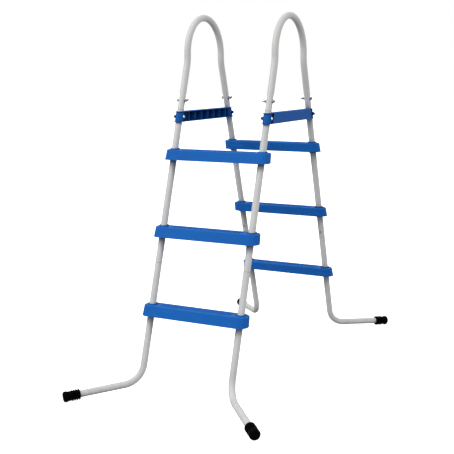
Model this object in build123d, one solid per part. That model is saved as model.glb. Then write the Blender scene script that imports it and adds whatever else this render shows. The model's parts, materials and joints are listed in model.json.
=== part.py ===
from build123d import *
import os
from math import cos, radians, sin, tan

# A-frame ladder for an above-ground pool: two three-step ladders lean together over the pool wall.
# Millimetres. Origin on the ground in the middle of the footprint, +Z up, +X across the steps,
# -Y towards the outside (front) ladder and +Y towards the pool-side (back) ladder.
os.makedirs("parts", exist_ok=True)

# ---- driving dimensions ----
STILE_X = 200.0            # stiles stand this far each side of the middle
STILE_LEAN = 17.9          # each ladder leans this many degrees from upright
GROUND_Y = 580.6           # where a stile's axis would meet the ground
TUBE_R = 14.0
TUBE_WALL = 1.2
SPIGOT_R = 12.65           # swaged tube end that slides into the next tube
SPIGOT_LENGTH = 52.0
SWAGE_LENGTH = 5.0

STEP_HEIGHTS = {"bottom": 322.5, "middle": 630.5, "top": 938.5}    # middle of the thickness
STEP_LENGTH = 471.0        # at the open underside
STEP_THICK = 41.0
STEP_OUT = 34.2            # outboard of the stile's axis, at the underside
STEP_IN = 38.6             # inboard of it
STEP_WALL = 3.0
STEP_CORNER = 34.0         # the ends are nearly half round in plan
STEP_EDGE = 5.0            # rounding of the upper edge
STEP_DRAFT = 3.8           # degrees
RIB_THICK = 2.2
RIB_SETBACK = 5.0          # ribs stop this far above the underside
RIB_STEP = 90.0            # spacing of the cross ribs
CROSS_RIBS = 5
GRIP_ROWS = 5              # raised anti-slip bars
GRIP_PITCH = 9.0
GRIP_RISE = 1.1
GRIP_WIDTH = 3.4
GRIP_LENGTH = 316.0

SOCKET_WALL = 3.0
BOSS_RISE = 5.0            # a socket stands this far above the step's top
SLEEVE_TOP_R = 16.6        # anchor sleeve, outside, at its narrow top
SLEEVE_FOOT_R = 18.2       # and at its foot
SLEEVE_LENGTH = 38.0
SLEEVE_RAISED = 4.0        # its foot, above the step's underside
COLLAR_R = 20.6
COLLAR_THICK = 3.0
SPLIT = 0.8                # slit between the two halves of a sleeve
PEG_R = 2.6
PEG_REACH = 3.2

LEG_JOINT_Z = 506.0        # upper stile meets lower leg
RAIL_JOINT_Z = 1119.5      # handrail meets upper stile, just above the side bracket
RAIL_BOLT_Z = 1159.0
RAIL_HALF_Y = 154.0        # the loop's half width
RAIL_CROWN_Z = 1504.0      # tube centre at the top of the loop
KINK_RADIUS = 130.0

BRACKET_Z = 1092.0
BRACKET_HEIGHT = 44.0
BRACKET_WALL = 2.6
BRACKET_OUT = 19.0         # smooth face, outboard of the stile's axis
BRACKET_IN = 15.0          # open side, inboard of the stile's axis
BRACKET_SLEEVE = 3.0       # wall of the collar round the stile
BRACKET_SEAT_R = 7.0       # round seats of the collar's bolt
RING_R = 20.5              # collar's top and bottom rims
RIB_PITCH = 57.0
NECK = 1.5                 # half thickness of the web between collar and channel
CHANNEL_START = 24.0       # the channel's end wall, inboard of the stile's axis

FOOT_END = (416.0, 802.0, 20.0)    # middle of a foot cap's outer end
FOOT_CORNER_Z = 44.0       # where the stile's axis and the foot's axis cross
FOOT_BEND = 95.0
CAP_R = 21.5
CAP_LENGTH = 68.0
CAP_FLOOR = 14.0           # rubber beyond the tube's end
CAP_WAIST_R = 19.1
CAP_VALLEY_R = 18.3
CAP_TEETH = 4
TOOTH_PITCH = 9.2
TOOTH_FOOT = 5.6           # length of one ring tooth at its root
CAP_RIM = 51.5             # start of the round rim, along the cap
CAP_DOME = 59.0            # start of the domed end
DOME_R = 9.0

BUTTON_Z = LEG_JOINT_Z + 28.0
BUTTON_R = 3.6
BUTTON_FLANGE_R = 4.6
BUTTON_FLANGE = 1.2
BUTTON_PROUD = 3.4
BUTTON_BASE = 9.0          # underside of the button's flange, from the tube's axis
BUTTON_TRAVEL = 3.6
SPRING_WIDTH = 9.0
SPRING_THICK = 0.8

BOLT_R = 3.0               # M6
SADDLE_R = 6.6
SADDLE_TOP = 17.2          # flat seat, from the tube's axis
WASHER_THICK = 1.2
RAIL_HEAD = (6.2, 4.8)     # radius and height of a domed bolt head
RAIL_BOLT_TIP = 30.5
BRACKET_HEAD = (5.0, 3.4)
WING_HUB_R = 5.2
WING_THICK = 2.2
CAP_NUT_FLANGE_R = 7.4
CAP_NUT_R = 6.0
CAP_NUT_FACE = 5.6         # bottom of its blind bore, from the seat

SLIP = 0.12                # clearance between pieces of one body
RUN = 0.06                 # clearance of a nut or button that moves

SLOPE = tan(radians(STILE_LEAN))
TILT = cos(radians(STILE_LEAN))
BORE_R = TUBE_R - TUBE_WALL
CLEAR = 400.0              # size of a cutting block, larger than any piece near it
BASE = (Align.CENTER, Align.CENTER, Align.MIN)


# ---- places and frames ----
def stile_point(z):
    """Point of the right back stile's axis at height z."""
    return Vector(STILE_X, GROUND_Y - SLOPE * z, z)


def stile_plane(z):
    """Frame on the right back stile: Z up along the tube, X across the steps."""
    return Plane(origin=stile_point(z), x_dir=(1, 0, 0), z_dir=(0, -SLOPE, 1))


def cross_plane(z, towards=1):
    """Frame on the right back stile with its Z across the tube, along +X or -X."""
    return Plane(origin=stile_point(z), x_dir=(0, 1, 0), z_dir=(towards, 0, 0))


def turned(profile, plane):
    """Solid of revolution of (radius, height) points about the plane's Z axis."""
    outline = make_face(Polyline(*profile, close=True))
    return plane * revolve(Plane.XZ * outline, axis=Axis.Z)


def rod(radius, low, high, plane):
    """Cylinder along the plane's Z axis, from low to high."""
    return plane * Pos(0, 0, low) * Cylinder(radius, high - low, align=BASE)


def placed(solid, side, end):
    """A piece made at the right back stile, mirrored to the named side and end."""
    if side == "left":
        solid = mirror(solid, about=Plane.YZ)
    if end == "front":
        solid = mirror(solid, about=Plane.XZ)
    return solid


def save(solids, name):
    """Write one node; a group of separate solids goes in as one compound."""
    if isinstance(solids, list):
        solids = Compound(children=solids)
    export_step(solids, f"parts/{name}.step")


SIDES = ("left", "right")
ENDS = ("front", "back")
CORNERS = [(side, end) for side in SIDES for end in ENDS]


# ---- tubes ----
def spigot_profile(length):
    """Tube wall, then the swage and the narrower end that enters the next tube."""
    bore = SPIGOT_R - TUBE_WALL
    top = length + SWAGE_LENGTH + SPIGOT_LENGTH
    return [
        (BORE_R, 0), (TUBE_R, 0), (TUBE_R, length),
        (SPIGOT_R, length + SWAGE_LENGTH), (SPIGOT_R, top),
        (bore, top), (bore, length + SWAGE_LENGTH), (BORE_R, length),
    ]


def cross_hole(z):
    """Hole for an M6 bolt right through a stile or rail."""
    return rod(BOLT_R + SLIP, -CLEAR, CLEAR, cross_plane(z))


def button_hole():
    return rod(BUTTON_R + RUN, 0, CLEAR, button_plane())


def upper_stile():
    length = (RAIL_JOINT_Z - LEG_JOINT_Z) / TILT - SWAGE_LENGTH - SLIP
    tube = turned(spigot_profile(length), stile_plane(LEG_JOINT_Z))
    tube -= cross_hole(RAIL_BOLT_Z)
    tube -= cross_hole(BRACKET_Z)
    for name in ("middle", "top"):
        tube -= peg_holes(STEP_HEIGHTS[name])
    return tube - button_hole()


def foot_direction():
    return (Vector(*FOOT_END) - stile_point(FOOT_CORNER_Z)).normalized()


def lower_leg():
    """Swaged straight tube down the stile line, then one bend and a short foot that runs outwards."""
    tube_end = Vector(*FOOT_END) - foot_direction() * CAP_FLOOR
    corner = stile_point(FOOT_CORNER_Z)
    axis = FilletPolyline(stile_point(LEG_JOINT_Z), corner, tube_end, radius=FOOT_BEND)
    bend_and_foot = Wire(axis.edges()[1:])
    begin = bend_and_foot @ 0
    ring = Plane(origin=begin, z_dir=bend_and_foot % 0)
    foot = sweep(ring * Circle(TUBE_R), path=bend_and_foot) - sweep(ring * Circle(BORE_R), path=bend_and_foot)
    length = (stile_point(LEG_JOINT_Z) - begin).length - SWAGE_LENGTH
    straight = turned(spigot_profile(length), Plane(origin=begin, x_dir=(1, 0, 0), z_dir=(0, -SLOPE, 1)))
    straight -= peg_holes(STEP_HEIGHTS["bottom"])
    straight -= button_hole()
    return straight + foot


def handrail():
    """The right handrail: one tube bent into a loop from the front stile over to the back one."""
    springing = RAIL_CROWN_Z - RAIL_HALF_Y
    kink_z = (GROUND_Y - RAIL_HALF_Y) / SLOPE
    kink = (STILE_X, RAIL_HALF_Y, kink_z)
    back_top = (STILE_X, RAIL_HALF_Y, springing)
    back_leg = FilletPolyline(stile_point(RAIL_JOINT_Z), kink, back_top, radius=KINK_RADIUS)
    front_leg = mirror(back_leg, about=Plane.XZ)
    crown = ThreePointArc(back_top, (STILE_X, 0, RAIL_CROWN_Z), (STILE_X, -RAIL_HALF_Y, springing))
    path = Wire(back_leg.edges() + crown.edges() + front_leg.edges())
    start = stile_plane(RAIL_JOINT_Z)
    rail = sweep(start * Circle(TUBE_R), path=path) - sweep(start * Circle(BORE_R), path=path)
    hole = cross_hole(RAIL_BOLT_Z)
    return rail - hole - mirror(hole, about=Plane.XZ)


# ---- snap button that locks a lower leg into its upper stile ----
def button_plane():
    """Frame whose Z points out of the stile on the side that faces the pool wall."""
    return Plane(origin=stile_point(BUTTON_Z), x_dir=(1, 0, 0), z_dir=(0, -1, -SLOPE))


def snap_button():
    tip = TUBE_R + BUTTON_PROUD
    flange_top = BUTTON_BASE + BUTTON_FLANGE
    profile = [
        (0, BUTTON_BASE), (BUTTON_FLANGE_R, BUTTON_BASE), (BUTTON_FLANGE_R, flange_top), (BUTTON_R, flange_top),
        (BUTTON_R, tip - 1.8), (BUTTON_R - 0.5, tip - 0.8), (BUTTON_R - 1.6, tip - 0.15), (0, tip),
    ]
    return turned(profile, button_plane())


def snap_spring():
    """Folded strip inside the tube: one leg behind the button, one along the far wall."""
    near = BUTTON_BASE - BUTTON_TRAVEL - SPRING_THICK - 0.3
    far = -8.6
    fold = -26.0
    line = Polyline((near, 6.0), (near, -8.0), (near - 2.0, fold + 6), (far + 3, fold), (far, fold + 6), (far, 6.0))
    strip = offset(line, SPRING_THICK / 2, side=Side.BOTH, kind=Kind.INTERSECTION)
    frame = button_plane()
    sheet = Plane(origin=frame.origin, x_dir=frame.z_dir, z_dir=frame.x_dir)
    return extrude(sheet * make_face(strip.edges()), amount=SPRING_WIDTH / 2, both=True)


# ---- steps ----
def leaning_block(inset, height):
    """Block on z = 0 with rounded ends; its walls draw in upwards and lean with the stiles."""
    drawn = 2 * height * tan(radians(STEP_DRAFT))
    length = STEP_LENGTH - 2 * inset
    depth = STEP_OUT + STEP_IN - 2 * inset
    corner = STEP_CORNER - inset
    foot = RectangleRounded(length, depth, corner)
    top = RectangleRounded(length - drawn, depth - drawn, corner - drawn / 2)
    return loft([foot, Pos(0, -SLOPE * height, height) * top], ruled=True)


def step_shell():
    """The open tray under the tread, and the block that fills its hollow."""
    outer = leaning_block(0, STEP_THICK)
    outer = fillet(outer.faces().sort_by(Axis.Z)[-1].edges(), STEP_EDGE)
    inner = leaning_block(STEP_WALL, STEP_THICK - STEP_WALL)
    inner = fillet(inner.faces().sort_by(Axis.Z)[-1].edges(), STEP_EDGE - STEP_WALL)
    return outer - inner, inner


def step_ribs(inside):
    """Stiffening ribs under the step, trimmed to its hollow and set back from its rim."""
    middle = Pos(0, -SLOPE * STEP_THICK / 2, STEP_THICK / 2)
    ribs = middle * Box(STEP_LENGTH, RIB_THICK, STEP_THICK)
    for i in range(CROSS_RIBS):
        across = (i - (CROSS_RIBS - 1) / 2) * RIB_STEP
        ribs += middle * Pos(across, 0, 0) * Box(RIB_THICK, 2 * STEP_IN, STEP_THICK)
    ribs &= inside
    return ribs - Box(STEP_LENGTH, CLEAR, 2 * RIB_SETBACK)


def grip_rows():
    """Raised anti-slip bars along the top."""
    sunk = GRIP_RISE / 2
    bars = []
    for i in range(GRIP_ROWS):
        across = (i - (GRIP_ROWS - 1) / 2) * GRIP_PITCH - SLOPE * STEP_THICK
        bar = extrude(SlotOverall(GRIP_LENGTH, GRIP_WIDTH), amount=sunk + GRIP_RISE)
        bar = chamfer(bar.faces().sort_by(Axis.Z)[-1].edges(), GRIP_RISE / 2)
        bars.append(Pos(0, across, STEP_THICK - sunk) * bar)
    return bars


def sleeve_radius(height, extra=0.0):
    """Outside radius of an anchor sleeve at this height above its foot."""
    return SLEEVE_FOOT_R + extra - (SLEEVE_FOOT_R - SLEEVE_TOP_R) * height / SLEEVE_LENGTH


def sleeve_plane(z):
    """Frame at the foot of the anchor sleeve that holds a step at height z."""
    return stile_plane(z - STEP_THICK / 2 + SLEEVE_RAISED)


def cone(low, high, extra, plane):
    """Cone that runs parallel to an anchor sleeve's outside, this much larger."""
    return turned([(0, low), (sleeve_radius(low, extra), low), (sleeve_radius(high, extra), high), (0, high)], plane)


def back_step(z):
    """Tray with a tapered socket at each end for an anchor sleeve."""
    shell, inside = step_shell()
    floor_z = z - STEP_THICK / 2
    middle = stile_point(floor_z).Y + (STEP_OUT - STEP_IN) / 2
    body = Pos(0, middle, floor_z) * (shell + step_ribs(inside) + grip_rows())
    frame = sleeve_plane(z)
    socket_foot = 0.4
    reach = SLEEVE_LENGTH + STEP_THICK / 2
    slab_height = STEP_THICK + BOSS_RISE
    slab = Pos(STILE_X, stile_point(z).Y, floor_z) * Box(2 * STEP_OUT, 2 * STEP_IN, slab_height, align=BASE)
    socket = cone(socket_foot, reach, SOCKET_WALL, frame) & slab
    bore = cone(-STEP_THICK / 2, reach, SLIP, frame)
    collar_room = rod(COLLAR_R + 1.0, -STEP_THICK / 2, socket_foot, frame)
    for side in SIDES:
        body += placed(socket, side, "back")
        body -= placed(bore + collar_room, side, "back")
    return body


def peg_holes(z):
    """Pair of holes across the stile for the pegs of an anchor sleeve."""
    across = sleeve_plane(z) * Pos(0, 0, SLEEVE_LENGTH / 2) * Rot(0, 90, 0)
    return across * Cylinder(PEG_R + SLIP, 2 * TUBE_R + SOCKET_WALL)


def anchor_sleeve_half(z, towards):
    """Half of the split wedge sleeve that grips the stile inside a step's socket."""
    frame = sleeve_plane(z)
    inner = TUBE_R + SLIP
    profile = [
        (inner, -COLLAR_THICK), (COLLAR_R, -COLLAR_THICK), (COLLAR_R, 0),
        (SLEEVE_FOOT_R, 0), (SLEEVE_TOP_R, SLEEVE_LENGTH), (inner, SLEEVE_LENGTH),
    ]
    half_space = frame * Pos(towards * (CLEAR + SPLIT) / 2, 0, 0) * Box(CLEAR, CLEAR, CLEAR)
    half = turned(profile, frame) & half_space
    across = frame * Pos(0, 0, SLEEVE_LENGTH / 2) * Rot(0, 90 * towards, 0)
    return half + rod(PEG_R, TUBE_R - PEG_REACH, TUBE_R + 1.0, across)


# ---- side brackets ----
def slanted_prism(z_low, z_high, inboard, x_low, x_high):
    """Wall between the two stiles of one side; its ends follow the lean, inboard of the axes."""
    y_low = stile_point(z_low).Y - inboard
    y_high = stile_point(z_high).Y - inboard
    outline = Polyline((-y_low, z_low), (y_low, z_low), (y_high, z_high), (-y_high, z_high), close=True)
    face = Plane(origin=(x_low, 0, 0), x_dir=(0, 1, 0), z_dir=(1, 0, 0)) * make_face(outline)
    return extrude(face, amount=x_high - x_low)


def bracket_slab():
    """Level slab of the bracket's height about the right back stile."""
    middle = stile_point(BRACKET_Z)
    return Pos(middle.X, middle.Y, middle.Z) * Box(CLEAR / 2, CLEAR / 2, BRACKET_HEIGHT)


def bracket_collar():
    """Round collar about the right back stile, with rims and bolt seats, cut level top and bottom."""
    body = rod(TUBE_R + SLIP + BRACKET_SLEEVE, -BRACKET_HEIGHT, BRACKET_HEIGHT, stile_plane(BRACKET_Z))
    for towards in (-1, 1):
        body += rod(BRACKET_SEAT_R, 0, BRACKET_OUT, cross_plane(BRACKET_Z, towards))
    body &= bracket_slab()
    half = BRACKET_HEIGHT / 2
    for z in (BRACKET_Z - half, BRACKET_Z + half - BRACKET_WALL):
        middle = stile_point(z + BRACKET_WALL / 2)
        body += Pos(middle.X, middle.Y, z) * Cylinder(RING_R, BRACKET_WALL, align=BASE)
    return body


def bracket_bores():
    bores = rod(TUBE_R + SLIP, -2 * BRACKET_HEIGHT, 2 * BRACKET_HEIGHT, stile_plane(BRACKET_Z))
    return bores + rod(BOLT_R + SLIP, -2 * BRACKET_OUT, 2 * BRACKET_OUT, cross_plane(BRACKET_Z))


def end_wall():
    """Slanted wall that closes the channel near the stile."""
    shift = Pos((BRACKET_OUT - BRACKET_IN) / 2, -CHANNEL_START * TILT, 0)
    plate = Box(BRACKET_IN + BRACKET_OUT, BRACKET_WALL, 2 * BRACKET_HEIGHT)
    return stile_plane(BRACKET_Z) * shift * plate & bracket_slab()


def side_bracket():
    """Ribbed channel between the collars of one side: smooth outside, open and ribbed inside."""
    low = BRACKET_Z - BRACKET_HEIGHT / 2
    high = BRACKET_Z + BRACKET_HEIGHT / 2
    x_in = STILE_X - BRACKET_IN
    x_out = STILE_X + BRACKET_OUT
    web_start = CHANNEL_START - 2.0
    body = slanted_prism(low, high, web_start, x_out - BRACKET_WALL, x_out)
    neck = slanted_prism(low, high, TUBE_R - NECK, STILE_X - NECK, STILE_X + NECK)
    body += neck - slanted_prism(low, high, CHANNEL_START + NECK, x_in, x_out)
    for z in (low, high - BRACKET_WALL):
        body += slanted_prism(z, z + BRACKET_WALL, TUBE_R - NECK, x_in, x_out)
    count = int((stile_point(BRACKET_Z).Y - CHANNEL_START) // RIB_PITCH)
    for i in range(-count, count + 1):
        rib = Box(x_out - x_in, RIB_THICK, BRACKET_HEIGHT)
        body += Pos((x_in + x_out) / 2, i * RIB_PITCH, BRACKET_Z) * rib
    for end in ENDS:
        body += placed(end_wall() + bracket_collar(), "right", end)
    for end in ENDS:
        body -= placed(bracket_bores(), "right", end)
    return body


# ---- feet ----
def foot_cap():
    """Rubber boot: ring teeth by the tube, a smooth band, one rim and a domed end with a flat tread."""
    outward = foot_direction()
    frame = Plane(origin=Vector(*FOOT_END) - outward * CAP_LENGTH, z_dir=outward)
    outline = [(TUBE_R + SLIP, 0), (CAP_VALLEY_R, 0)]
    for i in range(CAP_TEETH):
        start = 1.5 + TOOTH_PITCH * i
        outline += [
            (CAP_VALLEY_R, start), (CAP_R, start + 1.2),
            (CAP_R, start + TOOTH_FOOT - 1.2), (CAP_VALLEY_R, start + TOOTH_FOOT),
        ]
    waist_start = 1.5 + TOOTH_PITCH * CAP_TEETH
    outline += [(CAP_WAIST_R, waist_start), (CAP_WAIST_R, CAP_RIM - 1.5), (CAP_R, CAP_RIM), (CAP_R, CAP_DOME)]
    for angle in (20, 40, 60, 80):
        turn = radians(angle)
        radius = CAP_R - DOME_R + DOME_R * cos(turn)
        outline.append((radius, CAP_DOME + (CAP_LENGTH - CAP_DOME) * sin(turn)))
    tube_end = CAP_LENGTH - CAP_FLOOR + SLIP
    outline += [(0, CAP_LENGTH), (0, tube_end), (TUBE_R + SLIP, tube_end)]
    ground = Pos(FOOT_END[0], FOOT_END[1], -CLEAR) * Box(CLEAR, CLEAR, CLEAR, align=BASE)
    return turned(outline, frame) - ground


# ---- fasteners ----
def domed_bolt(head, seat, tip, plane):
    """M6 bolt along the plane's Z: domed head above the seat, plain shank down to the tip."""
    radius, height = head
    crown = seat + height
    profile = [
        (0, tip), (BOLT_R - 0.5, tip), (BOLT_R, tip + 0.5), (BOLT_R, seat), (radius, seat),
        (radius, seat + 0.35 * height), (0.82 * radius, crown - 0.3 * height),
        (0.5 * radius, crown - 0.07 * height), (0, crown),
    ]
    return turned(profile, plane)


def washer(seat, radius, plane):
    top = seat + WASHER_THICK
    return turned([(BOLT_R + SLIP, seat), (radius, seat), (radius, top), (BOLT_R + SLIP, top)], plane)


def saddle_washer(towards):
    """Washer hollowed to sit on the tube, on the outer (1) or inner (-1) side of the rail."""
    plane = cross_plane(RAIL_BOLT_Z, towards)
    foot = TUBE_R / 2
    ring = turned(
        [(BOLT_R + SLIP, foot), (SADDLE_R, foot), (SADDLE_R, SADDLE_TOP), (BOLT_R + SLIP, SADDLE_TOP)], plane
    )
    return ring - rod(TUBE_R + SLIP / 2, -CLEAR, CLEAR, stile_plane(RAIL_BOLT_Z))


def rail_bolt():
    return domed_bolt(RAIL_HEAD, SADDLE_TOP + WASHER_THICK, -RAIL_BOLT_TIP, cross_plane(RAIL_BOLT_Z, 1))


# Each wing nut stops where it is tight, so its wings stand at some angle from level (degrees).
WING_TURNS = {("left", "front"): 26, ("right", "front"): 8, ("left", "back"): -34, ("right", "back"): 14}


def wing_nut(turn):
    """Wing nut on the inner end of a rail bolt."""
    plane = cross_plane(RAIL_BOLT_Z, -1) * Rot(0, 0, turn)
    seat = SADDLE_TOP + SLIP
    bore = BOLT_R + RUN
    neck_r = WING_HUB_R - 1.1
    hub = turned(
        [(bore, seat), (WING_HUB_R, seat), (WING_HUB_R, seat + 1.6), (neck_r, seat + 7.6), (bore, seat + 7.6)], plane
    )
    ear = Polyline(
        (3.6, seat + 1.8), (8.8, seat + 4.2), (12.4, seat + 9.4), (12.0, seat + 12.6),
        (9.2, seat + 12.4), (6.2, seat + 8.6), (3.6, seat + 7.0), close=True,
    )
    blade = extrude(Plane.XZ * fillet(make_face(ear).vertices(), 0.9), amount=WING_THICK / 2, both=True)
    return hub + plane * (blade + mirror(blade, about=Plane.YZ))


def bracket_bolt(towards):
    """Cross bolt through the collar, with its head on the given side."""
    tip = BRACKET_OUT + CAP_NUT_FACE - 1.0
    return domed_bolt(BRACKET_HEAD, BRACKET_OUT + WASHER_THICK, -tip, cross_plane(BRACKET_Z, towards))


def cap_nut(towards):
    """Closed plastic nut on the bolt's far end, with a flange against the collar."""
    plane = cross_plane(BRACKET_Z, -towards)
    seat = BRACKET_OUT + SLIP
    bore = BOLT_R + SLIP
    profile = [
        (bore, seat), (CAP_NUT_FLANGE_R, seat), (CAP_NUT_FLANGE_R, seat + 1.5), (CAP_NUT_R, seat + 2.0),
        (CAP_NUT_R, seat + 5.2), (4.6, seat + 7.6), (2.4, seat + 8.8), (0, seat + 9.1),
        (0, seat + CAP_NUT_FACE), (bore, seat + CAP_NUT_FACE),
    ]
    return turned(profile, plane)


# ---- build every node ----
def bolt_side(side, end):
    """Each ladder's collar bolts all point the same way: heads to +X in front, to -X behind."""
    heads_right = end == "front"
    return 1 if heads_right == (side == "right") else -1


def build_tubes():
    stile = upper_stile()
    leg = lower_leg()
    cap = foot_cap()
    for side, end in CORNERS:
        save(placed(stile, side, end), f"upper_stile_{end}_{side}")
        save(placed(leg, side, end), f"lower_leg_{end}_{side}")
        save(placed(cap, side, end), f"foot_cap_{end}_{side}")
    rail = handrail()
    for side in SIDES:
        save(placed(rail, side, "back"), f"handrail_{side}")


def build_steps():
    for level, z in STEP_HEIGHTS.items():
        step = back_step(z)
        halves = [placed(anchor_sleeve_half(z, t), side, "back") for side in SIDES for t in (-1, 1)]
        for end in ENDS:
            save(placed(step, "right", end), f"step_{end}_{level}")
            save([placed(half, "right", end) for half in halves], f"anchor_sleeves_{end}_{level}")


def build_brackets():
    bracket = side_bracket()
    for side in SIDES:
        save(placed(bracket, side, "back"), f"side_bracket_{side}")
    bolts, washers, nuts = [], [], []
    for side, end in CORNERS:
        towards = bolt_side(side, end)
        ring = washer(BRACKET_OUT, BRACKET_HEAD[0] + 0.8, cross_plane(BRACKET_Z, towards))
        bolts.append(placed(bracket_bolt(towards), side, end))
        washers.append(placed(ring, side, end))
        nuts.append(placed(cap_nut(towards), side, end))
    save(bolts, "bracket_bolts")
    save(washers, "bracket_washers")
    save(nuts, "bracket_cap_nuts")


def build_rail_fasteners():
    save([placed(rail_bolt(), side, end) for side, end in CORNERS], "handrail_bolts")
    save([placed(saddle_washer(t), side, end) for side, end in CORNERS for t in (-1, 1)], "saddle_washers")
    flat = washer(SADDLE_TOP, SADDLE_R, cross_plane(RAIL_BOLT_Z, 1))
    save([placed(flat, side, end) for side, end in CORNERS], "handrail_washers")
    for side, end in CORNERS:
        save(placed(wing_nut(WING_TURNS[side, end]), side, end), f"wing_nut_{end}_{side}")


def build_snap_buttons():
    for side, end in CORNERS:
        save(placed(snap_button(), side, end), f"snap_button_{end}_{side}")
    save([placed(snap_spring(), side, end) for side, end in CORNERS], "snap_springs")


build_tubes()
build_steps()
build_brackets()
build_rail_fasteners()
build_snap_buttons()
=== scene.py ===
import json
import math

import bpy
import bmesh
from mathutils import Matrix, Vector


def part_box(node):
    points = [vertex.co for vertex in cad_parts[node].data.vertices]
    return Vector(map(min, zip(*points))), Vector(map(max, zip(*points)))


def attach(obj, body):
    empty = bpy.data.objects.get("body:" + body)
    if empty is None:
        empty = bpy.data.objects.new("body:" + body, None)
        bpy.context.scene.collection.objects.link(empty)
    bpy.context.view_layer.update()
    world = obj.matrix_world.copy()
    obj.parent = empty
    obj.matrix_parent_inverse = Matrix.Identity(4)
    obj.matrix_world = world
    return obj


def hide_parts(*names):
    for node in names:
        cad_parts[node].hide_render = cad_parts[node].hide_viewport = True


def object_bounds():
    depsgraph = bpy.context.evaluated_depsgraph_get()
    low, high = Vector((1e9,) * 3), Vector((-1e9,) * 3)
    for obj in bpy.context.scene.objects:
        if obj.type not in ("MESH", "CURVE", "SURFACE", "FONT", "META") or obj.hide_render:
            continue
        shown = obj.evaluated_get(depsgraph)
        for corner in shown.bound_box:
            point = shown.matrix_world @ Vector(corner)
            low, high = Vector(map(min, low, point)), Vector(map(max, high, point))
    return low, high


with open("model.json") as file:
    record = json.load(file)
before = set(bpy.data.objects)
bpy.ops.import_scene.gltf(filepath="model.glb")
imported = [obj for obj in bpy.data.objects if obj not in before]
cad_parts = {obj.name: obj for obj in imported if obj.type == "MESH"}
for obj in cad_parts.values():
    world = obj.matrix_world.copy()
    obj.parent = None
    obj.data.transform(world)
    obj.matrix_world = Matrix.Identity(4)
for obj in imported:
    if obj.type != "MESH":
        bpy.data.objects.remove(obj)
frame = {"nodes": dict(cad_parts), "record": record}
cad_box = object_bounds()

# A pool ladder: two stepped tube ladders in an A-frame. Metres, +Z up, front ladder towards -Y.
LOW, HIGH = (Vector(corner) for corner in cad_box)
HEIGHT = HIGH.z - LOW.z

# ---- camera ----
# Solved from the photograph.
CAMERA_AZIMUTH = math.radians(26.59)       # from straight ahead of the front ladder, towards +X
CAMERA_DOWN = math.radians(10.16)          # how far it looks down
CAMERA_ROLL = math.radians(-0.19)
CAMERA_AWAY = 3.8376                       # from the point that it aims at
AIM = Vector((-0.0755, -0.0381, 0.602))
CAMERA_LENS = 69.05                        # millimetres, as is the sensor
CAMERA_SENSOR = 36.0


def add_camera():
    """Camera that looks down a little on the ladder, from its right front."""
    data = bpy.data.cameras.new("camera")
    data.lens = CAMERA_LENS
    data.sensor_width = CAMERA_SENSOR
    camera = bpy.data.objects.new("camera", data)
    bpy.context.scene.collection.objects.link(camera)
    backwards = Vector((
        math.sin(CAMERA_AZIMUTH) * math.cos(CAMERA_DOWN),
        -math.cos(CAMERA_AZIMUTH) * math.cos(CAMERA_DOWN),
        math.sin(CAMERA_DOWN),
    ))
    place = Matrix.Translation(AIM + backwards * CAMERA_AWAY)
    turn = Matrix.Rotation(CAMERA_AZIMUTH, 4, "Z") @ Matrix.Rotation(math.pi / 2 - CAMERA_DOWN, 4, "X")
    camera.matrix_world = place @ turn @ Matrix.Rotation(CAMERA_ROLL, 4, "Z")
    bpy.context.scene.camera = camera


# ---- shader helpers ----
# Settings of the painted shade mask, which darkens colour where something above a point is near.
SKYWARDS = (0.0, 0.0, 0.95)                # tilts a surface's normal towards the sky
SHUT_SHARE = 0.1                           # share of open sky at which a point counts as shut in
SKY_SAMPLES = 16


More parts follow.
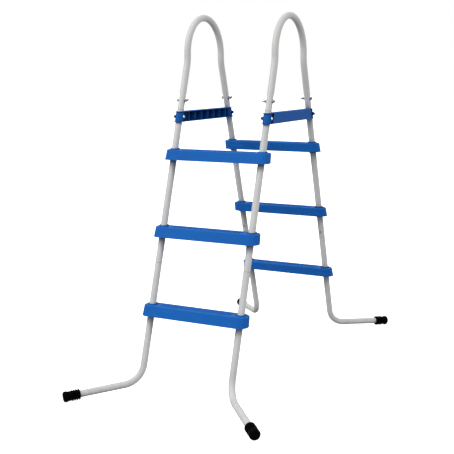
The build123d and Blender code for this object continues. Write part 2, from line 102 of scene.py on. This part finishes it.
class Nodes:
    """A material's node tree with short calls for the nodes used here."""

    def __init__(self, name):
        self.material = bpy.data.materials.new(name)
        self.material.use_nodes = True
        self.tree = self.material.node_tree
        self.shader = self.tree.nodes["Principled BSDF"]
        self.place = self.add("ShaderNodeTexCoord").outputs["Object"]

    def add(self, kind, **settings):
        node = self.tree.nodes.new(kind)
        for key, value in settings.items():
            setattr(node, key, value)
        return node

    def link(self, source, target):
        self.tree.links.new(source, target)

    def noise(self, scale, detail=3.0, roughness=0.5, stretch=None):
        node = self.add("ShaderNodeTexNoise")
        node.inputs["Scale"].default_value = scale
        node.inputs["Detail"].default_value = detail
        node.inputs["Roughness"].default_value = roughness
        place = self.place
        if stretch:
            mapping = self.add("ShaderNodeMapping")
            mapping.inputs["Scale"].default_value = stretch
            self.link(self.place, mapping.inputs["Vector"])
            place = mapping.outputs["Vector"]
        self.link(place, node.inputs["Vector"])
        return node.outputs["Fac"]

    def ramp(self, source, low, high, start=0.0, end=1.0):
        """Maps source from low..high to start..end, clamped."""
        node = self.add("ShaderNodeMapRange")
        for socket, value in zip(("From Min", "From Max", "To Min", "To Max"), (low, high, start, end)):
            node.inputs[socket].default_value = value
        self.link(source, node.inputs["Value"])
        return node.outputs["Result"]

    def mix(self, factor, first, second):
        """Blends two colours, each given as a tuple or as a socket."""
        node = self.add("ShaderNodeMix", data_type="RGBA")
        factor_input, first_input, second_input = node.inputs[0], node.inputs[6], node.inputs[7]
        for socket, value in ((first_input, first), (second_input, second)):
            if isinstance(value, tuple):
                socket.default_value = (*value, 1.0)
            else:
                self.link(value, socket)
        self.link(factor, factor_input)
        return node.outputs[2]

    def add_up(self, first, second, weight=1.0):
        """first + second * weight."""
        node = self.add("ShaderNodeMath", operation="MULTIPLY_ADD")
        self.link(second, node.inputs[0])
        node.inputs[1].default_value = weight
        self.link(first, node.inputs[2])
        return node.outputs[0]

    def product(self, first, second):
        node = self.add("ShaderNodeMath", operation="MULTIPLY")
        self.link(first, node.inputs[0])
        self.link(second, node.inputs[1])
        return node.outputs[0]

    def height_above(self, low, high):
        """0 at height low and 1 at height high, in the object's own Z, and clamped beyond them."""
        split = self.add("ShaderNodeSeparateXYZ")
        self.link(self.place, split.inputs[0])
        return self.ramp(split.outputs["Z"], low, high)

    def facing_up(self, low, high):
        """0 where the surface rises by less than low, 1 where it faces up by high or more."""
        split = self.add("ShaderNodeSeparateXYZ")
        self.link(self.add("ShaderNodeNewGeometry").outputs["Normal"], split.inputs[0])
        return self.ramp(split.outputs["Z"], low, high)

    def painted_shade_mask(self, reach, open_share, power, weight=1.0):
        """Mask for painted shade: 0 where a point is open to the sky, towards weight where something above
        it is within reach.
        """
        tilted = self.add("ShaderNodeVectorMath", operation="ADD")
        self.link(self.add("ShaderNodeNewGeometry").outputs["Normal"], tilted.inputs[0])
        tilted.inputs[1].default_value = SKYWARDS
        unit = self.add("ShaderNodeVectorMath", operation="NORMALIZE")
        self.link(tilted.outputs[0], unit.inputs[0])
        sky = self.add("ShaderNodeAmbientOcclusion", samples=SKY_SAMPLES)
        sky.inputs["Distance"].default_value = reach
        self.link(unit.outputs[0], sky.inputs["Normal"])
        shut = self.ramp(sky.outputs["AO"], SHUT_SHARE, open_share, 1.0, 0.0)
        eased = self.add("ShaderNodeMath", operation="POWER")
        self.link(shut, eased.inputs[0])
        eased.inputs[1].default_value = power
        return self.ramp(eased.outputs[0], 0.0, 1.0, 0.0, weight)

    def bump(self, height, strength, distance):
        node = self.add("ShaderNodeBump")
        node.inputs["Strength"].default_value = strength
        node.inputs["Distance"].default_value = distance
        self.link(height, node.inputs["Height"])
        self.link(node.outputs["Normal"], self.shader.inputs["Normal"])

    def finish(self, color, roughness, **sockets):
        self.link(color, self.shader.inputs["Base Color"])
        self.link(roughness, self.shader.inputs["Roughness"])
        for name, value in sockets.items():
            self.shader.inputs[name.replace("_", " ")].default_value = value
        return self.material


# ---- materials ----
# Colours are linear. Noise scales are per metre, and bump distances are in metres.
POWDER_DARK = (0.520, 0.522, 0.520)
POWDER_LIGHT = (0.575, 0.575, 0.565)
POWDER_WORN = (0.40, 0.40, 0.39)
POWDER_SPLASHED = (0.36, 0.34, 0.30)
# Painted shade: the dark colour laid on the tubes under the steps and other overhangs.
POWDER_PAINTED_SHADE = (0.045, 0.055, 0.08)
# Painted shade in the hollows and pockets of the plastics.
PLASTIC_PAINTED_SHADE = (0.004, 0.014, 0.035)
RUBBER_DARK = (0.0008, 0.0008, 0.0009)
RUBBER_BLOOM = (0.0018, 0.0018, 0.0020)
RUBBER_DUST = (0.03, 0.029, 0.027)
WHITE_BLOOM = (0.5, 0.5, 0.48)

# Each plastic: its darker and lighter tone, its colour where worn, and how strong the painted shade in its
# hollows is.
PLASTICS = {
    "step_plastic": ((0.0070, 0.098, 0.380), (0.0100, 0.118, 0.440), (0.05, 0.19, 0.52), 0.5),
    "bracket_plastic": ((0.0050, 0.078, 0.310), (0.0070, 0.096, 0.370), (0.04, 0.16, 0.46), 0.9),
    "sleeve_plastic": ((0.006, 0.035, 0.14), (0.008, 0.045, 0.17), (0.04, 0.09, 0.22), 0.5),
    "nut_plastic": ((0.006, 0.026, 0.10), (0.008, 0.034, 0.12), (0.04, 0.08, 0.18), 0.5),
}

# Each metal: its darker and lighter tone, its least and most roughness, and how strong its bloom is.
METALS = {
    "zinc_steel": ((0.20, 0.20, 0.20), (0.30, 0.30, 0.29), 0.34, 0.48, 0.3),
    "bright_steel": ((0.90, 0.90, 0.91), (0.96, 0.96, 0.97), 0.16, 0.26, 0.0),
    "spring_steel": ((0.24, 0.25, 0.27), (0.33, 0.34, 0.36), 0.3, 0.42, 0.1),
}


def powder_coat():
    """Light grey powder coat: orange peel, faint mottling, dust and splash marks towards the ground, and
    painted shade under the steps and other overhangs.
    """
    n = Nodes("powder_coat")
    mottle = n.ramp(n.noise(9.0, detail=4.0), 0.3, 0.7)
    color = n.mix(mottle, POWDER_DARK, POWDER_LIGHT)
    specks = n.ramp(n.noise(700.0, detail=2.0), 0.64, 0.72, end=0.5)
    color = n.mix(specks, color, POWDER_WORN)
    splashes = n.ramp(n.noise(38.0, detail=6.0, roughness=0.65), 0.42, 0.68, end=0.35)
    color = n.mix(n.product(n.height_above(0.30, 0.02), splashes), color, POWDER_SPLASHED)
    # Painted shade: darkens the tubes where something above is within reach, such as right under each step.
    color = n.mix(n.painted_shade_mask(reach=0.16, open_share=0.74, power=0.45), color, POWDER_PAINTED_SHADE)
    scuffs = n.ramp(n.noise(120.0, detail=2.0, stretch=(1.0, 1.0, 0.06)), 0.64, 0.74)
    color = n.mix(n.ramp(scuffs, 0.0, 1.0, end=0.22), color, POWDER_WORN)
    roughness = n.add_up(n.ramp(mottle, 0.0, 1.0, 0.30, 0.38), scuffs, weight=0.12)
    peel = n.add_up(n.noise(650.0, detail=2.0), n.noise(2600.0, detail=1.0), weight=0.3)
    n.bump(peel, strength=0.22, distance=0.0004)
    return n.finish(color, roughness, Specular_IOR_Level=0.5)


def moulded_plastic(name, dark, light, worn, painted_shade_weight):
    """Injection-moulded polypropylene: fine grain, flow mottling, pale rubs, a little dust and painted shade
    in its hollows.
    """
    n = Nodes(name)
    flow = n.ramp(n.noise(7.0, detail=5.0, roughness=0.55, stretch=(0.35, 1.0, 1.0)), 0.3, 0.7)
    color = n.mix(flow, dark, light)
    scratches = n.ramp(n.noise(60.0, roughness=0.6, stretch=(0.25, 6.0, 1.0)), 0.60, 0.74, end=0.35)
    color = n.mix(scratches, color, worn)
    dust = n.ramp(n.noise(420.0, detail=4.0, roughness=0.7), 0.58, 0.78, end=0.22)
    color = n.mix(dust, color, worn)
    tread = n.ramp(n.noise(24.0, detail=5.0, roughness=0.7), 0.4, 0.65, 0.05, 0.4)
    trodden = n.product(n.facing_up(0.8, 1.0), tread)
    color = n.mix(trodden, color, worn)
    # Painted shade: darkens the plastic in pockets and hollows where something is near.
    hollow_shade = n.painted_shade_mask(reach=0.03, open_share=0.8, power=0.8, weight=painted_shade_weight)
    color = n.mix(hollow_shade, color, PLASTIC_PAINTED_SHADE)
    roughness = n.add_up(n.ramp(flow, 0.0, 1.0, 0.40, 0.5), n.add_up(scratches, trodden), weight=0.4)
    grain = n.add_up(n.noise(1500.0, detail=2.0), n.noise(260.0, detail=2.0), weight=0.35)
    n.bump(grain, strength=0.18, distance=0.0003)
    return n.finish(color, roughness, Specular_IOR_Level=0.05)


def rubber():
    """Black rubber with a matt skin, bloom and grey dust."""
    n = Nodes("cap_rubber")
    bloom = n.ramp(n.noise(55.0, detail=5.0, roughness=0.6), 0.4, 0.75)
    color = n.mix(bloom, RUBBER_DARK, RUBBER_BLOOM)
    dust = n.ramp(n.noise(300.0, detail=4.0, roughness=0.7), 0.62, 0.85, end=0.12)
    color = n.mix(dust, color, RUBBER_DUST)
    roughness = n.ramp(bloom, 0.0, 1.0, 0.45, 0.6)
    n.bump(n.noise(800.0), strength=0.3, distance=0.0004)
    return n.finish(color, roughness, Specular_IOR_Level=0.02)


def metal(name, dark, light, smooth, rough, bloom_weight):
    """Plated steel: fine brushing, a mottled tone and, where dull, spots of white bloom."""
    n = Nodes(name)
    tone = n.ramp(n.noise(160.0, detail=4.0), 0.3, 0.7)
    color = n.mix(tone, dark, light)
    bloom = n.ramp(n.noise(700.0), 0.62, 0.75, end=bloom_weight)
    color = n.mix(bloom, color, WHITE_BLOOM)
    roughness = n.ramp(tone, 0.0, 1.0, smooth, rough)
    n.bump(n.noise(1800.0, detail=2.0, stretch=(1.0, 1.0, 8.0)), strength=0.12, distance=0.0002)
    return n.finish(color, roughness, Metallic=1.0)


def make_materials():
    """One material for each slot in the record."""
    materials = {"powder_coat": powder_coat()}
    for name, looks in PLASTICS.items():
        materials[name] = moulded_plastic(name, *looks)
    materials["cap_rubber"] = rubber()
    for name, looks in METALS.items():
        materials[name] = metal(name, *looks)
    return materials


def dress(mesh, slot):
    """Gives a mesh its slot's material and no other."""
    mesh.materials.clear()
    mesh.materials.append(MATERIALS[slot])


def dress_cad_nodes():
    """Every CAD node takes its slot's material, also where a finished piece stands for it."""
    for part in frame["record"]["subparts"]:
        dress(frame["nodes"][part["node"]].data, part["material_slot"])


# ---- finished pieces ----
# How far the edges of each kind of piece are rounded.
EDGE_ROUNDING = {
    "step": 0.0007,
    "anchor_sleeves": 0.0003,
    "side_bracket": 0.0006,
    "handrail": 0.0005,
    "upper_stile": 0.0005,
    "lower_leg": 0.0005,
    "foot_cap": 0.0008,
    "wing_nut": 0.0005,
    "snap_button": 0.0004,
    "snap_springs": 0.0001,
    "bracket_bolts": 0.0003,
    "bracket_washers": 0.00025,
    "bracket_cap_nuts": 0.0003,
    "handrail_bolts": 0.0003,
    "handrail_washers": 0.00025,
    "saddle_washers": 0.0003,
}
FLAT = math.radians(0.6)       # facets that turn less than this are joined
CREASE = math.radians(28.0)    # edges that turn more than this are rounded
SMOOTH = math.radians(40.0)    # edges that turn less than this are shaded smooth
WELD = 1e-6                    # points nearer than this are one
ROUNDING_SEGMENTS = 3

LEAN = math.radians(17.9)      # the stiles, from upright
SWAGE_LENGTH = 0.0052          # a little over the 5 mm taper of a tube's end that enters the next tube
SWAGE_MARGIN = 0.0001          # how far past the joint a point still counts as the taper's end
SEAM = 0.0014                  # what shows of the taper once the tubes are driven home


def joint_above(name):
    """Where the tube below enters the next one, and the stile's direction there, for a stile or leg node."""
    kind, end, side = name.rsplit("_", 2)
    inwards = 1 if end == "front" else -1
    up = Vector((0.0, inwards * math.sin(LEAN), math.cos(LEAN)))
    low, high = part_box(f"upper_stile_{end}_{side}")
    radius = (high.x - low.x) / 2
    rim_drop = radius * math.sin(LEAN)
    foot_y = low.y if end == "front" else high.y
    joint = Vector(((low.x + high.x) / 2, foot_y + inwards * radius * up.z, low.z + rim_drop))
    if kind == "upper_stile":
        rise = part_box(f"handrail_{side}")[0].z + rim_drop - joint.z
        joint += up * (rise / up.z)
    return joint, up


def drive_home(bm, joint, up):
    """Shortens the taper below a joint to the thin seam that shows between two tubes."""
    for vert in bm.verts:
        along = (vert.co - joint).dot(up)
        if -SWAGE_LENGTH < along < SWAGE_MARGIN:
            share = (along + SWAGE_LENGTH) / SWAGE_LENGTH
            vert.co += up * (SEAM * (share - 1.0) - along)


def rounded_shape(name, rounding):
    """Mesh of a CAD node with its edges rounded, as moulding, rolling or plating leaves them."""
    bm = bmesh.new()
    bm.from_mesh(frame["nodes"][name].data)
    bmesh.ops.remove_doubles(bm, verts=bm.verts, dist=WELD)
    if name.startswith(("upper_stile", "lower_leg")):
        drive_home(bm, *joint_above(name))
    bmesh.ops.dissolve_limit(bm, angle_limit=FLAT, verts=bm.verts, edges=bm.edges)
    creases = [edge for edge in bm.edges if edge.calc_face_angle(0.0) > CREASE]
    bmesh.ops.bevel(
        bm, geom=creases, offset=rounding, segments=ROUNDING_SEGMENTS, profile=0.5, affect="EDGES",
        clamp_overlap=True,
    )
    bmesh.ops.remove_doubles(bm, verts=bm.verts, dist=WELD)
    mesh = bpy.data.meshes.new(f"finished_{name}")
    bm.to_mesh(mesh)
    bm.free()
    mesh.shade_smooth()
    mesh.set_sharp_from_angle(angle=SMOOTH)
    return mesh


def kind_of(name):
    """The longest kind in EDGE_ROUNDING that the name starts with."""
    return max((kind for kind in EDGE_ROUNDING if name.startswith(kind)), key=len)


def add_finished_piece(name, body, slot):
    """A piece with rounded edges that stands for a CAD node, on that node's own body."""
    mesh = rounded_shape(name, EDGE_ROUNDING[kind_of(name)])
    dress(mesh, slot)
    piece = bpy.data.objects.new(mesh.name, mesh)
    bpy.context.scene.collection.objects.link(piece)
    normals = piece.modifiers.new("even_normals", "WEIGHTED_NORMAL")
    normals.keep_sharp = True
    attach(piece, body)
    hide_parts(name)


def add_finished_pieces():
    """A finished piece for every CAD node."""
    slots = {part["node"]: part["material_slot"] for part in frame["record"]["subparts"]}
    for body, names in frame["record"]["behaviour"]["bodies"].items():
        for name in names:
            add_finished_piece(name, body, slots[name])


# ---- studio ----
FLOOR_REACH = 40.0
FLOOR_GLOW = 0.86          # keeps the floor white out to the horizon
SKY_SEEN = 1.0             # what the camera sees past the floor
SKY_ABOVE = 1.15           # light from straight above
SKY_LEVEL = 0.68           # light from the horizon
SKY_BELOW = 0.60           # light from below

# Each broad light: where it hangs, its size and its power in watts.
LIGHTS = {
    "key": (Vector((-2.3, -2.6, 3.9)), 2.6, 72.0),
    "fill": (Vector((1.2, -4.2, 1.4)), 2.6, 8.0),
}


def floor_material():
    """Pale seamless floor, lit from within so that it stays white all the way back."""
    n = Nodes("studio_floor")
    tone = n.ramp(n.noise(2.0, detail=2.0), 0.3, 0.7)
    color = n.mix(tone, (0.83, 0.83, 0.83), (0.85, 0.85, 0.85))
    roughness = n.ramp(tone, 0.0, 1.0, 0.6, 0.7)
    n.shader.inputs["Emission Color"].default_value = (1.0, 1.0, 1.0, 1.0)
    return n.finish(color, roughness, Specular_IOR_Level=0.1, Emission_Strength=FLOOR_GLOW)


def add_floor():
    """Floor under the feet, which the camera sees but which throws no light back on the ladder."""
    corners = [
        (-FLOOR_REACH, -FLOOR_REACH, LOW.z),
        (FLOOR_REACH, -FLOOR_REACH, LOW.z),
        (FLOOR_REACH, FLOOR_REACH, LOW.z),
        (-FLOOR_REACH, FLOOR_REACH, LOW.z),
    ]
    mesh = bpy.data.meshes.new("studio_floor")
    mesh.from_pydata(corners, [], [(0, 1, 2, 3)])
    mesh.materials.append(floor_material())
    floor = bpy.data.objects.new("studio_floor", mesh)
    floor.visible_diffuse = False
    floor.visible_glossy = False
    bpy.context.scene.collection.objects.link(floor)


def studio_world():
    """White behind the ladder; on the ladder, light that falls off from above to below."""
    world = bpy.data.worlds.new("studio")
    world.use_nodes = True
    tree = world.node_tree

    def graded(source, low, high, start, end):
        node = tree.nodes.new("ShaderNodeMapRange")
        node.interpolation_type = "SMOOTHSTEP"
        for socket, value in zip(("From Min", "From Max", "To Min", "To Max"), (low, high, start, end)):
            node.inputs[socket].default_value = value
        tree.links.new(source, node.inputs["Value"])
        return node.outputs["Result"]

    def joined(operation, first, second):
        node = tree.nodes.new("ShaderNodeMath")
        node.operation = operation
        for socket, value in zip(node.inputs, (first, second)):
            tree.links.new(value, socket)
        return node.outputs[0]

    direction = tree.nodes.new("ShaderNodeSeparateXYZ")
    tree.links.new(tree.nodes.new("ShaderNodeTexCoord").outputs["Generated"], direction.inputs[0])
    rise = direction.outputs["Z"]
    lower_half = graded(rise, -0.35, 0.0, SKY_BELOW, SKY_LEVEL)
    upper_half = graded(rise, 0.0, 0.9, 0.0, SKY_ABOVE - SKY_LEVEL)
    seen = tree.nodes.new("ShaderNodeLightPath").outputs["Is Camera Ray"]
    backdrop = graded(seen, 0.0, 1.0, 0.0, SKY_SEEN)
    level = joined("MAXIMUM", joined("ADD", lower_half, upper_half), backdrop)
    tree.links.new(level, tree.nodes["Background"].inputs["Strength"])
    tree.nodes["Background"].inputs["Color"].default_value = (1.0, 1.0, 1.0, 1.0)
    return world


def add_light(name, place, size, power):
    """Square soft light that faces the middle of the ladder."""
    data = bpy.data.lights.new(name, "AREA")
    data.size = size
    data.energy = power
    light = bpy.data.objects.new(name, data)
    light.location = place
    middle = Vector((0.0, 0.0, HEIGHT * 0.5))
    light.rotation_euler = (middle - place).to_track_quat("-Z", "Y").to_euler()
    bpy.context.scene.collection.objects.link(light)


def add_studio():
    """Pale floor, graded sky and two soft lights: the key high on the left front, a weaker fill in front."""
    add_floor()
    bpy.context.scene.world = studio_world()
    for name, (place, size, power) in LIGHTS.items():
        add_light(name, place, size, power)
    bpy.context.scene.view_settings.view_transform = "Standard"


add_camera()
add_studio()
MATERIALS = make_materials()
dress_cad_nodes()
add_finished_pieces()
